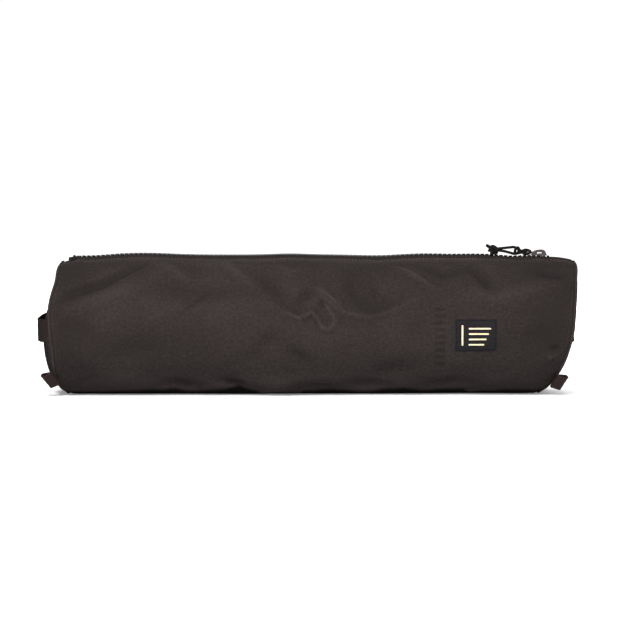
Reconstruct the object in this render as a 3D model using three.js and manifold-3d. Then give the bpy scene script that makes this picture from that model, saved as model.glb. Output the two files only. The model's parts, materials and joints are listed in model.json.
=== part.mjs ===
// A zip-top stow bag: a fabric tube with domed round ends, a long zip along its crest, a webbing
// grab handle across each end, a lash loop low on each end seam and a corded zip puller.
// Millimetres. +X runs along the bag to its right end, the front faces -Y, +Z is up, and the
// origin is on the ground under the middle of the bag.

import * as THREE from "three";
import { mergeVertices } from "three/addons/utils/BufferGeometryUtils.js";
import Module from "manifold-3d";

const wasm = await Module();
wasm.setup();

// ---------------------------------------------------------------- driving dimensions
const GAP = 0.3; // clearance between neighbouring solids
const BIG = 400; // size of a cutting block that reaches past everything

const SEAM_X = 253; // the end seams, either side of the middle
const HALF_WIDTH = 74; // half of the section across the bag
const HALF_HEIGHT = 70; // half of the section up and down, before the ground flattens it
const AXIS_Z = 65.5; // height of the section's centre
const CREST_Z = AXIS_Z + HALF_HEIGHT;
const WALL = 1.5; // fabric with its coating and lining
const DOME = 9; // how far each end panel bulges
const LEFT_TUCK = 12; // how far each soft end tucks in where it meets the ground
const RIGHT_TUCK = 24;
const SECTION_STEPS = 48;

const BINDING_DEPTH = 2.7; // bound seam allowance, measured inwards from the wall
const BINDING_WIDTH = 6;

const LIP_X = 240; // the zip opening, either side of the middle
const LIP_Z = 100; // where the lips start to fold away from the body
const LIP_Y = 8.5; // the fabric edges beside the zip

const TAPE_THICK = 0.8;
const TOOTH_PITCH = 2.4;
const TOOTH_WIDTH = 0.9;
const TOOTH_TIP_Y = 1.1; // a tooth reaches this far past the middle
const SPINE_INNER_Y = 1.6; // the corded edge that the teeth sit on
const SPINE_OUTER_Y = 3.0;
const CHAIN_Z = 135.6; // mid-plane of the teeth
const CHAIN_HEIGHT = 2.6;
const CHAIN_LEFT_X = -229;
const CHAIN_RIGHT_X = 231;
const CHAIN_TOP = CHAIN_Z + CHAIN_HEIGHT / 2;

const SLIDER_X = 229.5; // slider centre with the zip closed
const SLIDER_LENGTH = 15;
const SLIDER_WIDTH = 9.6;
const PLATE_THICK = 1.2;
const TOP_PLATE_Z = CHAIN_TOP + GAP; // underside of the top plate
const PLATE_TOP_Z = TOP_PLATE_Z + PLATE_THICK;
const BRIDGE_WIDTH = 3.2;
const BRIDGE_FOOT_Z = PLATE_TOP_Z + 0.1;
const BRIDGE_TOP_Z = BRIDGE_FOOT_Z + 4;
const BRIDGE_HOLE_TOP_Z = BRIDGE_FOOT_Z + 2.2;

const PIVOT = new THREE.Vector3(SLIDER_X - 3, 0, BRIDGE_FOOT_Z + 0.95); // the bail turns here
const BAIL_TILT = THREE.MathUtils.degToRad(6); // the bail lies this much above level
const BAIL_LENGTH = 9; // from the pivot to the bar that carries the cord
const BAIL_WIDTH = 7.2;
const BAIL_THICK = 1.4;
const CORD = 2.2; // cord diameter
const KNOT = new THREE.Vector3(184, 0, 142.6);

const WEBBING_THICK = 1.6;
const HANDLE_WIDTH = 25;
const HANDLE_Z = 65; // height of the middle of the handles
const LOOP_WIDTH = 20;
const LOOP_LENGTH = 11;
const LOOP_ANGLE = THREE.MathUtils.degToRad(46); // how far below the widest point, at the front
const LOOP_ROOT_X = SEAM_X + 4; // the folding line of a lash loop

const LABEL = { x0: 140, x1: 181, z0: 43, z1: 76, thick: 0.7 };

// ---------------------------------------------------------------- materials
const material = (color, roughness, metalness = 0) =>
  new THREE.MeshStandardMaterial({ color, roughness, metalness });
const fabric = material(0x3b3635, 0.85);
const lining = material(0x2a2728, 0.9);
const webbing = material(0x332f2f, 0.9);
const zipTape = material(0x2b292a, 0.9);
const zipPlastic = material(0x1d1c1d, 0.45);
const sliderMetal = material(0x77726f, 0.4, 0.9);
const cordFibre = material(0x191818, 0.8);
const wovenLabel = material(0x25252a, 0.8);

// ---------------------------------------------------------------- shape helpers
const bag = new THREE.Group();

function addPiece(name, geometry, pieceMaterial) {
  const mesh = new THREE.Mesh(geometry, pieceMaterial);
  mesh.name = name;
  bag.add(mesh);
  return mesh;
}

function toSolid(geometry) {
  const bare = new THREE.BufferGeometry();
  bare.setAttribute("position", geometry.getAttribute("position"));
  if (geometry.index) bare.setIndex(geometry.index);
  const merged = mergeVertices(bare, 1e-4);
  return new wasm.Manifold(
    new wasm.Mesh({
      numProp: 3,
      vertProperties: merged.attributes.position.array,
      triVerts: new Uint32Array(merged.index.array),
    }),
  );
}

function toGeometry(solid) {
  const mesh = solid.getMesh();
  const geometry = new THREE.BufferGeometry();
  geometry.setAttribute(
    "position",
    new THREE.BufferAttribute(new Float32Array(mesh.vertProperties), 3),
  );
  geometry.setIndex(new THREE.BufferAttribute(new Uint32Array(mesh.triVerts), 1));
  geometry.computeVertexNormals();
  return geometry;
}

function block(x0, x1, y0, y1, z0, z1) {
  return new THREE.BoxGeometry(x1 - x0, y1 - y0, z1 - z0).translate(
    (x0 + x1) / 2,
    (y0 + y1) / 2,
    (z0 + z1) / 2,
  );
}

const keep = (geometry, box) => toGeometry(toSolid(geometry).intersect(toSolid(box)));
const cut = (geometry, box) => toGeometry(toSolid(geometry).subtract(toSolid(box)));

// A shape drawn in (y, z), made solid from x0 to x1.
function alongX(shape, x0, x1) {
  const geometry = new THREE.ExtrudeGeometry(shape, { depth: x1 - x0, bevelEnabled: false });
  const turn = new THREE.Matrix4().set(0, 0, 1, x0, 1, 0, 0, 0, 0, 1, 0, 0, 0, 0, 0, 1);
  return geometry.applyMatrix4(turn);
}

// A shape drawn in (x, z), made solid across the bag between -half and +half.
function acrossY(shape, half) {
  const geometry = new THREE.ExtrudeGeometry(shape, { depth: 2 * half, bevelEnabled: false });
  return geometry.rotateX(Math.PI / 2).translate(0, half, 0);
}

// A shape drawn in (x, y), made solid from z0 up to z1.
function upZ(shape, z0, z1) {
  const geometry = new THREE.ExtrudeGeometry(shape, { depth: z1 - z0, bevelEnabled: false });
  return geometry.translate(0, 0, z0);
}

// The outline of a strip of even thickness that follows a line of points.
function stripShape(points, thickness) {
  const side = (sign) =>
    points.map((point, i) => {
      const before = points[Math.max(i - 1, 0)];
      const after = points[Math.min(i + 1, points.length - 1)];
      const along = after.clone().sub(before).normalize();
      return new THREE.Vector2(-along.y, along.x).multiplyScalar((sign * thickness) / 2).add(point);
    });
  return new THREE.Shape([...side(-1), ...side(1).reverse()]);
}

// The bag's section, drawn in (y, z) and set in from the outer face by inset.
function sectionPoint(angle, inset) {
  const y = (HALF_WIDTH - inset) * Math.cos(angle);
  const z = AXIS_Z + (HALF_HEIGHT - inset) * Math.sin(angle);
  return new THREE.Vector2(y, Math.max(z, inset));
}

function sectionPoints(inset) {
  return Array.from({ length: SECTION_STEPS }, (_, i) =>
    sectionPoint(((i + 0.5) * 2 * Math.PI) / SECTION_STEPS, inset),
  );
}

function tube(insetOutside, insetInside, x0, x1) {
  const ring = new THREE.Shape(sectionPoints(insetOutside));
  ring.holes.push(new THREE.Path(sectionPoints(insetInside)));
  return alongX(ring, x0, x1);
}

// Below the section's centre an end leans in, more and more towards the ground.
function tuckAt(side, z) {
  const below = Math.max(0, 1 - z / AXIS_Z);
  return -side * (side < 0 ? LEFT_TUCK : RIGHT_TUCK) * below ** 1.5;
}

function tuckEnds(geometry) {
  const position = geometry.getAttribute("position");
  for (let i = 0; i < position.count; i++) {
    const x = position.getX(i);
    position.setX(i, x + tuckAt(Math.sign(x), position.getZ(i)));
  }
  return geometry;
}

// ---------------------------------------------------------------- fabric body
function bodyPanel() {
  const mouth = block(-LIP_X - GAP, LIP_X + GAP, -BIG, BIG, LIP_Z, BIG);
  addPiece("body_panel", tuckEnds(cut(tube(0, WALL, -SEAM_X, SEAM_X), mouth)), fabric);
}

// side is -1 at the front and 1 at the back
function lipPanel(name, side) {
  const [y0, y1] = side < 0 ? [-BIG, -LIP_Y] : [LIP_Y, BIG];
  const region = block(-LIP_X, LIP_X, y0, y1, LIP_Z + 2 * GAP, BIG);
  addPiece(name, keep(tube(0, WALL, -LIP_X, LIP_X), region), fabric);
}

// A domed disc of even thickness. side is -1 at the left end and 1 at the right end.
function endPanel(name, side) {
  const radii = [0, 0.3, 0.55, 0.75, 0.9, 1];
  const bulge = (r) => DOME * (1 - r * r);
  const inner = radii.map((r) => new THREE.Vector2(r, bulge(r)));
  const outer = radii.map((r) => new THREE.Vector2(r, bulge(r) + WALL)).reverse();
  const disc = new THREE.LatheGeometry([...inner, ...outer], SECTION_STEPS);
  disc.scale(HALF_WIDTH, 1, HALF_HEIGHT);
  disc.rotateZ((-side * Math.PI) / 2);
  disc.translate(side * (SEAM_X + GAP), 0, AXIS_Z);
  addPiece(name, tuckEnds(keep(disc, block(-BIG, BIG, -BIG, BIG, 0, BIG))), fabric);
}

function seamBinding(name, side) {
  const outerEnd = side * (SEAM_X - 0.5);
  const innerEnd = side * (SEAM_X - 0.5 - BINDING_WIDTH);
  const [x0, x1] = side < 0 ? [outerEnd, innerEnd] : [innerEnd, outerEnd];
  addPiece(name, tuckEnds(tube(WALL + GAP, WALL + GAP + BINDING_DEPTH, x0, x1)), lining);
}

// ---------------------------------------------------------------- zip
// The tape runs from under the fabric edge up to the teeth.
function zipTapeStrip(name, side) {
  const line = [
    [17, CREST_Z - 4.4],
    [9.5, CREST_Z - 3.1],
    [7.3, CREST_Z - 2.1],
    [6, CHAIN_Z - 0.6],
    [SPINE_OUTER_Y + GAP, CHAIN_Z],
  ];
  const points = line.map(([y, z]) => new THREE.Vector2(side * y, z));
  if (side > 0) points.reverse();
  addPiece(name, alongX(stripShape(points, TAPE_THICK), -LIP_X + 0.5, LIP_X - 0.5), zipTape);
}

// One row of teeth on its corded edge. The two rows are half a pitch apart.
function zipTeeth(name, side) {
  const firstTooth = CHAIN_LEFT_X + 1 + (side < 0 ? 0 : TOOTH_PITCH / 2);
  const tip = -side * TOOTH_TIP_Y;
  const inner = side * SPINE_INNER_Y;
  const outer = side * SPINE_OUTER_Y;
  const outline = new THREE.Shape();
  outline.moveTo(CHAIN_RIGHT_X, outer);
  outline.lineTo(CHAIN_LEFT_X, outer);
  outline.lineTo(CHAIN_LEFT_X, inner);
  for (let x = firstTooth; x < CHAIN_RIGHT_X - 1; x += TOOTH_PITCH) {
    outline.lineTo(x - TOOTH_WIDTH / 2, inner);
    outline.lineTo(x - TOOTH_WIDTH / 2, tip);
    outline.lineTo(x + TOOTH_WIDTH / 2, tip);
    outline.lineTo(x + TOOTH_WIDTH / 2, inner);
  }
  outline.lineTo(CHAIN_RIGHT_X, inner);
  addPiece(name, upZ(outline, CHAIN_Z - CHAIN_HEIGHT / 2, CHAIN_TOP), zipPlastic);
}

function zipStops() {
  const z0 = CHAIN_Z - CHAIN_HEIGHT / 2;
  const stopX = LIP_X - 2.5; // the top stops, just past the parked slider
  const outer = SPINE_OUTER_Y + 0.2;
  const bottom = block(-231.6, -229.6, -outer, outer, z0 - 0.2, CHAIN_TOP + 0.2);
  addPiece("zip_bottom_stop", bottom, zipPlastic);
  addPiece("front_top_stop", block(stopX, stopX + 2, -outer, -GAP, z0, CHAIN_TOP), zipPlastic);
  addPiece("back_top_stop", block(stopX, stopX + 2, GAP, outer, z0, CHAIN_TOP), zipPlastic);
}

// A flat fabric tab sewn over each end of the zip.
function zipTab(name, x0, x1) {
  const z0 = CHAIN_Z + TAPE_THICK / 2 + GAP;
  addPiece(name, block(x0, x1, -7.6, 7.6, z0, z0 + 0.8), fabric);
}

// ---------------------------------------------------------------- slider and puller
// The plates are widest at the end where the two rows enter and narrow where they leave joined.
function plateShape(inset) {
  const half = SLIDER_LENGTH / 2 - inset;
  const wide = SLIDER_WIDTH / 2 - inset;
  const narrow = wide - 0.9;
  const shape = new THREE.Shape();
  shape.moveTo(-half, -narrow + 0.6);
  shape.quadraticCurveTo(-half, -narrow, -half + 0.6, -narrow);
  shape.quadraticCurveTo(0, -narrow, half * 0.25, -wide);
  shape.lineTo(half - 2.2, -wide);
  shape.quadraticCurveTo(half, -wide, half, -wide * 0.45);
  shape.quadraticCurveTo(half - 0.9, 0, half, wide * 0.45);
  shape.quadraticCurveTo(half, wide, half - 2.2, wide);
  shape.lineTo(half * 0.25, wide);
  shape.quadraticCurveTo(0, narrow, -half + 0.6, narrow);
  shape.quadraticCurveTo(-half, narrow, -half, narrow - 0.6);
  return shape;
}

function sliderBody() {
  const bottomZ = CHAIN_Z - CHAIN_HEIGHT / 2 - GAP;
  const top = toSolid(upZ(plateShape(0), TOP_PLATE_Z, PLATE_TOP_Z));
  const bottom = toSolid(upZ(plateShape(0.3), bottomZ - PLATE_THICK, bottomZ));
  // the wedge that parts the rows joins the plates
  const wedge = toSolid(block(4.2, 6.4, -1.2, 1.2, bottomZ - 0.5, PLATE_TOP_Z - 0.5));
  let slider = top.add(bottom).add(wedge);
  for (const side of [-1, 1]) {
    const [y0, y1] = side < 0 ? [-SLIDER_WIDTH / 2, -4] : [4, SLIDER_WIDTH / 2];
    const upper = toSolid(block(1.5, 5.2, y0, y1, CHAIN_Z + 0.6, PLATE_TOP_Z - 0.5));
    const lower = toSolid(block(1.5, 5.2, y0, y1, bottomZ - 0.5, CHAIN_Z - 1));
    slider = slider.add(upper).add(lower);
  }
  const pinHole = toSolid(block(-1.1, 0.7, -1.1, 1.1, TOP_PLATE_Z - 1, PLATE_TOP_Z + 1));
  const body = toGeometry(slider.subtract(pinHole));
  addPiece("slider_body", body.translate(SLIDER_X, 0, 0), sliderMetal);
}

function sliderBridge() {
  const arch = new THREE.Shape();
  arch.moveTo(-6.6, BRIDGE_FOOT_Z);
  arch.lineTo(-4.8, BRIDGE_FOOT_Z);
  arch.quadraticCurveTo(-4.8, BRIDGE_HOLE_TOP_Z, -2.6, BRIDGE_HOLE_TOP_Z);
  arch.lineTo(1.8, BRIDGE_HOLE_TOP_Z);
  arch.quadraticCurveTo(3.4, BRIDGE_HOLE_TOP_Z, 3.4, BRIDGE_FOOT_Z + 0.8);
  arch.lineTo(3.4, BRIDGE_FOOT_Z);
  arch.lineTo(6.6, BRIDGE_FOOT_Z);
  arch.quadraticCurveTo(6.4, BRIDGE_TOP_Z - 0.2, 2.4, BRIDGE_TOP_Z);
  arch.quadraticCurveTo(-6, BRIDGE_TOP_Z + 0.1, -6.6, BRIDGE_FOOT_Z);
  const bridge = acrossY(arch, BRIDGE_WIDTH / 2).translate(SLIDER_X, 0, 0);
  addPiece("slider_bridge", bridge, sliderMetal);
}

// The sprung catch under the bridge, whose pin drops through the top plate to the teeth.
function lockPawl() {
  const low = BRIDGE_FOOT_Z + 0.2;
  const pawl = new THREE.Shape();
  pawl.moveTo(-0.7, TOP_PLATE_Z + 0.1);
  pawl.lineTo(0.3, TOP_PLATE_Z + 0.1);
  pawl.lineTo(0.3, low);
  pawl.lineTo(3, low);
  pawl.lineTo(3, low + 0.5);
  pawl.lineTo(-0.7, low + 0.5);
  addPiece("slider_lock_pawl", acrossY(pawl, 0.7).translate(SLIDER_X, 0, 0), sliderMetal);
}

// A rectangle with rounded corners, drawn in (x, y).
function roundedShape(x0, x1, half, radius) {
  const outline = new THREE.Shape();
  outline.moveTo(x0 + radius, -half);
  outline.lineTo(x1 - radius, -half);
  outline.quadraticCurveTo(x1, -half, x1, -half + radius);
  outline.lineTo(x1, half - radius);
  outline.quadraticCurveTo(x1, half, x1 - radius, half);
  outline.lineTo(x0 + radius, half);
  outline.quadraticCurveTo(x0, half, x0, half - radius);
  outline.lineTo(x0, -half + radius);
  outline.quadraticCurveTo(x0, -half, x0 + radius, -half);
  return outline;
}

// Drawn with the pivot at the origin and the cord bar at -BAIL_LENGTH, then tilted into place.
function pullBail() {
  const bar = 0.75; // half the width of the bars at either end
  const outline = roundedShape(-BAIL_LENGTH - bar, bar, BAIL_WIDTH / 2, 1.6);
  outline.holes.push(roundedShape(-BAIL_LENGTH + bar, -bar, BAIL_WIDTH / 2 - 1.2, 0.5));
  const bail = addPiece("pull_bail", upZ(outline, -BAIL_THICK / 2, BAIL_THICK / 2), sliderMetal);
  bail.rotation.y = BAIL_TILT;
  bail.position.copy(PIVOT);
}

function cordTube(name, points) {
  const path = new THREE.CatmullRomCurve3(points.map((p) => new THREE.Vector3(...p)));
  const section = new THREE.Shape();
  section.absarc(0, 0, CORD / 2, 0, 2 * Math.PI);
  const steps = Math.max(2, Math.round(path.getLength() / (2.5 * CORD)));
  const options = { steps, extrudePath: path, curveSegments: 4, bevelEnabled: false };
  addPiece(name, new THREE.ExtrudeGeometry(section, options), cordFibre);
}

// The cord is hitched round the bail's bar, runs doubled to its knot and ends in two tails.
function cordPull() {
  const bar = new THREE.Vector3(-BAIL_LENGTH, 0, 0)
    .applyAxisAngle(new THREE.Vector3(0, 1, 0), BAIL_TILT)
    .add(PIVOT);
  const leaf = new THREE.Shape();
  leaf.moveTo(-6.8, 0.8);
  leaf.quadraticCurveTo(-3.6, 3.4, 0, 3.2);
  leaf.quadraticCurveTo(3, 3, 4.4, 0);
  leaf.quadraticCurveTo(2.6, -3, 0, -3.1);
  leaf.quadraticCurveTo(-3.6, -2.6, -6.8, 0.8);
  leaf.holes.push(new THREE.Path().absarc(0, 0, 1.35, 0, 2 * Math.PI));
  addPiece("pull_cord_hitch", acrossY(leaf, 2).translate(bar.x, 0, bar.z), cordFibre);

  const startX = bar.x - 6.8 - GAP - 0.6;
  const knotFace = KNOT.x + 5.2 + GAP;
  cordTube("pull_cord_upper", [
    [startX, -0.4, 143],
    [203, -0.5, 144.9],
    [knotFace, -0.4, 143.9],
  ]);
  cordTube("pull_cord_lower", [
    [startX, 0.4, 140],
    [203, 0.5, 138.9],
    [knotFace, 0.4, 141.2],
  ]);
  const knot = new THREE.SphereGeometry(1, 12, 8).scale(5.2, 4.6, 4.4);
  addPiece("pull_cord_knot", knot.translate(KNOT.x, KNOT.y, KNOT.z), cordFibre);
  cordTube("pull_cord_tail_upper", [
    [KNOT.x - 4.6, -0.6, KNOT.z + 3],
    [KNOT.x - 7, -0.8, KNOT.z + 4.6],
  ]);
  cordTube("pull_cord_tail_lower", [
    [KNOT.x - 2.4, -4.9, KNOT.z - 2.2],
    [KNOT.x - 2.8, -7, KNOT.z - 5],
  ]);
}

// ---------------------------------------------------------------- webbing and label
// A strap from the front seam round to the back seam, bowed clear of the end panel.
function handle(name, side) {
  const line = new THREE.SplineCurve(
    [
      [SEAM_X + 4.4, -69],
      [SEAM_X + 10, -57],
      [SEAM_X + 14.6, -38],
      [SEAM_X + 16.5, -18],
      [SEAM_X + 16.6, 0],
      [SEAM_X + 16.5, 18],
      [SEAM_X + 14.6, 38],
      [SEAM_X + 10, 57],
      [SEAM_X + 4.4, 69],
    ].map(([x, y]) => new THREE.Vector2(side * x, y)),
  );
  const points = line.getPoints(16);
  if (side < 0) points.reverse();
  const low = HANDLE_Z - HANDLE_WIDTH / 2;
  addPiece(name, upZ(stripShape(points, WEBBING_THICK), low, low + HANDLE_WIDTH), webbing);
}

// A folded webbing loop that springs from the seam, low on the front. Drawn pointing along +X from
// a round root with its width along +Z, then turned to stand on the leaning seam.
function lashLoop(name, side) {
  const root = WEBBING_THICK;
  const belly = LOOP_LENGTH * 0.62;
  const half = WEBBING_THICK + 1.4;
  const shape = new THREE.Shape();
  shape.absarc(0, 0, root, Math.PI / 2, (3 * Math.PI) / 2, false);
  shape.quadraticCurveTo(belly * 0.4, -root, belly, -half);
  shape.quadraticCurveTo(LOOP_LENGTH, -half, LOOP_LENGTH, 0);
  shape.quadraticCurveTo(LOOP_LENGTH, half, belly, half);
  shape.quadraticCurveTo(belly * 0.4, root, 0, root);
  const eye = new THREE.Path();
  eye.moveTo(belly * 0.45, 0);
  eye.quadraticCurveTo(belly * 0.7, half - WEBBING_THICK, belly, half - WEBBING_THICK);
  eye.quadraticCurveTo(LOOP_LENGTH - WEBBING_THICK, half - WEBBING_THICK, LOOP_LENGTH - WEBBING_THICK, 0);
  eye.quadraticCurveTo(LOOP_LENGTH - WEBBING_THICK, WEBBING_THICK - half, belly, WEBBING_THICK - half);
  eye.quadraticCurveTo(belly * 0.7, WEBBING_THICK - half, belly * 0.45, 0);
  shape.holes.push(eye);
  const geometry = new THREE.ExtrudeGeometry(shape, { depth: LOOP_WIDTH, bevelEnabled: false });
  geometry.translate(0, 0, -LOOP_WIDTH / 2);
  const loop = addPiece(name, geometry, webbing);
  const seamAt = (angle) => {
    const at = sectionPoint(Math.PI + angle, 0);
    return new THREE.Vector3(side * LOOP_ROOT_X + tuckAt(side, at.y), at.x, at.y);
  };
  const halfSpan = LOOP_WIDTH / 2 / HALF_WIDTH; // as an angle round the section
  const upper = seamAt(LOOP_ANGLE - halfSpan);
  const lower = seamAt(LOOP_ANGLE + halfSpan);
  const widthAxis = upper.sub(lower).normalize();
  const outward = new THREE.Vector3(side, 0, 0).projectOnPlane(widthAxis).normalize();
  const thickAxis = new THREE.Vector3().crossVectors(widthAxis, outward);
  loop.setRotationFromMatrix(new THREE.Matrix4().makeBasis(outward, thickAxis, widthAxis));
  loop.position.copy(seamAt(LOOP_ANGLE));
}

// A woven patch that follows the front of the body.
function labelPatch() {
  const skin = tube(-GAP - LABEL.thick, -GAP, LABEL.x0, LABEL.x1);
  const region = block(LABEL.x0 - 1, LABEL.x1 + 1, -BIG, 0, LABEL.z0, LABEL.z1);
  addPiece("label_patch", keep(skin, region), wovenLabel);
}

// ---------------------------------------------------------------- assembly
bodyPanel();
for (const [end, side] of [
  ["left", -1],
  ["right", 1],
]) {
  endPanel(`${end}_end_panel`, side);
  seamBinding(`${end}_seam_binding`, side);
  handle(`${end}_handle`, side);
  lashLoop(`${end}_lash_loop`, side);
}
for (const [face, side] of [
  ["front", -1],
  ["back", 1],
]) {
  lipPanel(`${face}_lip_panel`, side);
  zipTapeStrip(`${face}_zip_tape`, side);
  zipTeeth(`${face}_zip_teeth`, side);
}
zipStops();
zipTab("left_zip_tab", -SEAM_X + 2, -232.2);
zipTab("right_zip_tab", LIP_X + 0.2, SEAM_X - 2);
sliderBody();
sliderBridge();
lockPawl();
pullBail();
cordPull();
labelPatch();

export default bag;
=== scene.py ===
import json
import math

import bmesh
import bpy
import numpy as np
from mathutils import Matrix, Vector


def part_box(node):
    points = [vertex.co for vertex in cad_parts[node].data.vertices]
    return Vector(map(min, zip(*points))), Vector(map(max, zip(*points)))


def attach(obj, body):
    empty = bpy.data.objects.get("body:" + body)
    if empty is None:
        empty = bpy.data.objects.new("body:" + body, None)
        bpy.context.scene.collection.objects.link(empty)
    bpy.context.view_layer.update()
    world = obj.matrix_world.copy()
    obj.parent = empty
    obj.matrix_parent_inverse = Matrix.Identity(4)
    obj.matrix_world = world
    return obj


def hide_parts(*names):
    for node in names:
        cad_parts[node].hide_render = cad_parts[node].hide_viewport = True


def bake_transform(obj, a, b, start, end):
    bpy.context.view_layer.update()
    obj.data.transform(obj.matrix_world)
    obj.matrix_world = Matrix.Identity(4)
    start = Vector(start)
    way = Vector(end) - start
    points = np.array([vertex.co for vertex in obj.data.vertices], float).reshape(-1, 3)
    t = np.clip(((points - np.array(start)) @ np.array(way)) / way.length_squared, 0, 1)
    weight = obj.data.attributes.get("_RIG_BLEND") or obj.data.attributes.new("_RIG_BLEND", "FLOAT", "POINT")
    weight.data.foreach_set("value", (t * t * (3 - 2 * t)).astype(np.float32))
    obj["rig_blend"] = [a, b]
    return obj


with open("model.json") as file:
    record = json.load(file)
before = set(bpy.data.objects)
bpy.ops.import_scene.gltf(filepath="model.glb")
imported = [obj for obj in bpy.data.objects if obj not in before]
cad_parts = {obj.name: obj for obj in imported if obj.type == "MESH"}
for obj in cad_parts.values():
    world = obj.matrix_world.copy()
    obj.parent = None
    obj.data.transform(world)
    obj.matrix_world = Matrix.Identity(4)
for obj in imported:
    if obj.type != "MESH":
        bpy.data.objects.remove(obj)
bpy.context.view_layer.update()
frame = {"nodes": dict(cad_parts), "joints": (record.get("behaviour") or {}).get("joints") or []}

# ---- sizes taken from the frame
MM = 0.001
body_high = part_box("body_panel")[1]
lip_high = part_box("front_lip_panel")[1]
tooth_low, tooth_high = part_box("front_zip_teeth")
slider_low, slider_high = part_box("slider_body")
label_low, label_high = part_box("label_patch")
joints = {joint["name"]: joint for joint in frame["joints"]}

SEAM_X = body_high.x
HALF_W = body_high.y
HINGE = joints["front_lip_open"]["pos_m"]  # this point is on the section, so it gives the half-height
HINGE_ANGLE = math.asin(abs(HINGE[1]) / HALF_W)
HALF_H = (body_high.z - HINGE[2]) / (1 - math.cos(HINGE_ANGLE))
AXIS_Z = body_high.z - HALF_H
ROUND = (HALF_W + HALF_H) / 2  # turns an angle into a distance round the bag
HEM = math.asin(-lip_high.y / HALF_W)  # the fabric edge beside the zip, as an angle from the crest
CHAIN_Z = (tooth_low.z + tooth_high.z) / 2
CLOTH = 1.1 * MM
HEM_DROP = 0.7 * MM  # the hems lie this much below the bag's round shape, beside the raised zip
SLIDER_X = (slider_low.x + slider_high.x) / 2
TRAVEL = joints["slider_travel"]["range_m"][1]
WEBBING = 1.5 * MM  # thickness of the handles
PLUMP_END = 0.93  # the share of the bag's half-length after which the mesh is finer, up to the end seam


# ---- small maths
def smooth(t):
    t = np.clip(t, 0, 1)
    return t * t * (3 - 2 * t)


def bump(x, middle, width):
    return np.exp(-(((x - middle) / width) ** 2))


def unit(vectors):
    return vectors / np.linalg.norm(vectors, axis=-1, keepdims=True)


def run_along(points):
    """The distance along a line of points, at each of them."""
    return np.concatenate([[0], np.cumsum(np.linalg.norm(np.diff(points, axis=0), axis=1))])


def points_at(distances, run, line):
    """The points on a line at some distances along it, where run is the distance at each of its own."""
    return np.stack([np.interp(distances, run, line[:, k]) for k in range(3)], axis=-1)


PERIOD = 97  # the noise repeats after this many units
LATTICES = [np.random.default_rng(seed).standard_normal((PERIOD, PERIOD)) for seed in range(11)]


def ripple(a, b, seed):
    """Smooth noise with unit spacing, about -1 to 1."""
    i, j = np.floor(a).astype(int), np.floor(b).astype(int)
    u, v = smooth(a - i), smooth(b - j)

    def corner(di, dj):
        return LATTICES[seed][(i + di) % PERIOD, (j + dj) % PERIOD]

    near = corner(0, 0) * (1 - u) + corner(1, 0) * u
    far = corner(0, 1) * (1 - u) + corner(1, 1) * u
    return (near * (1 - v) + far * v) * 0.6


# ---- the cloth's shape
# Folds on the front: how wide, how far proud, and a run of (x, z) points, all in mm.
FRONT_FOLDS = [
    (7, -7.5, (-243, 99), (-205, 113), (-165, 129)),
    (9, 4.0, (-240, 84), (-200, 98), (-150, 117)),
    (7, 3.0, (-160, 131), (-135, 124), (-118, 112)),
    (15, 2.6, (-215, 80), (-130, 86), (-45, 88)),
    (12, -4.2, (-165, 112), (-110, 105), (-50, 108)),
    (6, 2.6, (-150, 131), (-100, 129), (-60, 127)),
    (6, 3.0, (-90, 131), (-72, 122), (-58, 112)),
    (6, 3.0, (-34, 128), (-20, 121), (-6, 124)),
    (4.5, -2.4, (-124, 84), (-97, 106)),
    (8.5, -5.0, (-50, 122), (-38, 111), (-27, 99), (-15, 89)),
    (7, -5.0, (-15, 89), (-6, 99), (3, 111)),
    (2.8, 5.5, (-26, 84), (-20, 83), (-11, 79), (-4, 82), (1, 84), (7, 78), (11, 70), (17, 68),
     (23, 74)),
    (4.5, -3.0, (9, 98), (12, 88)),
    (3.4, 2.8, (14, 92), (22, 80), (24, 74)),
    (5, 3.4, (4, 108), (18, 99), (31, 90)),
    (14, -10.0, (40, 124), (49, 106), (63, 93), (82, 95)),
    (5, 3.2, (8, 101), (30, 85), (57, 80), (79, 87), (101, 96)),
    (5, 4.5, (83, 127), (100, 119), (121, 107)),
    (8, -4.0, (104, 130), (130, 122), (160, 126)),
    (7, -5.0, (158, 128), (170, 118), (176, 106)),
    (9, 3.4, (150, 104), (185, 99), (212, 106), (240, 114)),
    (8, -4.5, (214, 124), (250, 119)),
    (16, -4.0, (205, 66), (225, 60), (243, 66)),
    (14, -2.5, (-250, 72), (-225, 70), (-205, 66)),
    (3.2, -4.0, (236, 49), (244, 45)),
    (3.2, 3.0, (233, 41), (241, 39)),
    (10, -3.2, (-62, 38), (-48, 50), (-30, 64)),
    (8, -3.0, (-24, 50), (4, 33)),
    (12, 2.4, (20, 62), (60, 70)),
    (14, 4.0, (-52, 16), (-33, 14), (-14, 16)),
    (6, -5.0, (-84, 15), (-66, 11)),
    (8, -4.5, (-8, 9), (26, 8)),
    (12, -2.6, (60, 22), (95, 32)),
    (15, -2.2, (-200, 38), (-150, 52)),
    (8, -4.0, (-140, 14), (-112, 10)),
    (8, -4.0, (40, 13), (74, 11)),
    (9, -3.2, (110, 12), (150, 14)),
]


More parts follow.
